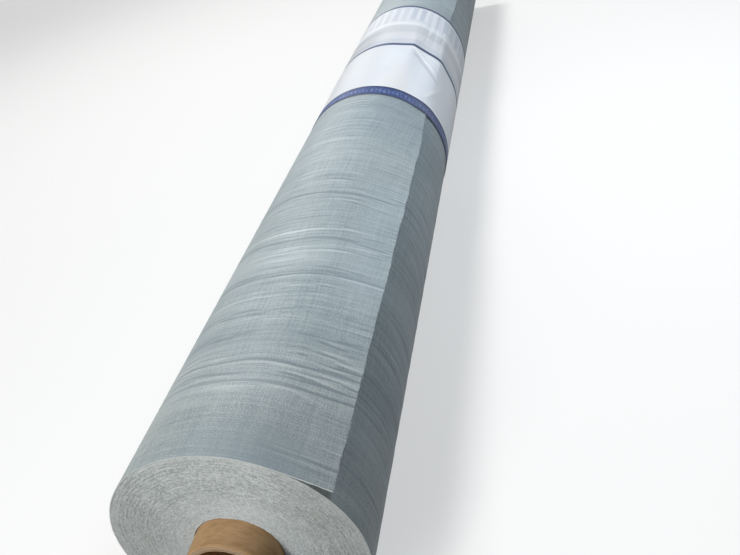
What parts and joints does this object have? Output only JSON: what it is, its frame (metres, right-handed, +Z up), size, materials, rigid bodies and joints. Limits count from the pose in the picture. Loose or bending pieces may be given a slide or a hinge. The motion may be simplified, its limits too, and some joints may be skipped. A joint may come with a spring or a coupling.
{
  "type": "roll of roofing felt",
  "caption": "Long grey roll of synthetic roofing felt, wound on a cardboard tube, with a paper label round its middle and a loose free end along one side.",
  "frame": {"origin": "centre of the footprint on the floor, below the middle of the roll", "axes": "+X along the roll's axis, +Y away from the side the free end lies on, +Z up"},
  "size_m": [1.54, 0.1778, 0.1778],
  "materials": {
    "felt": "satin",
    "cardboard": "matte",
    "label": "satin"
  },
  "bodies": {
    "root": {"felt_roll": "felt", "core_tube": "cardboard", "label_band": "label"}
  },
  "joints": []
}
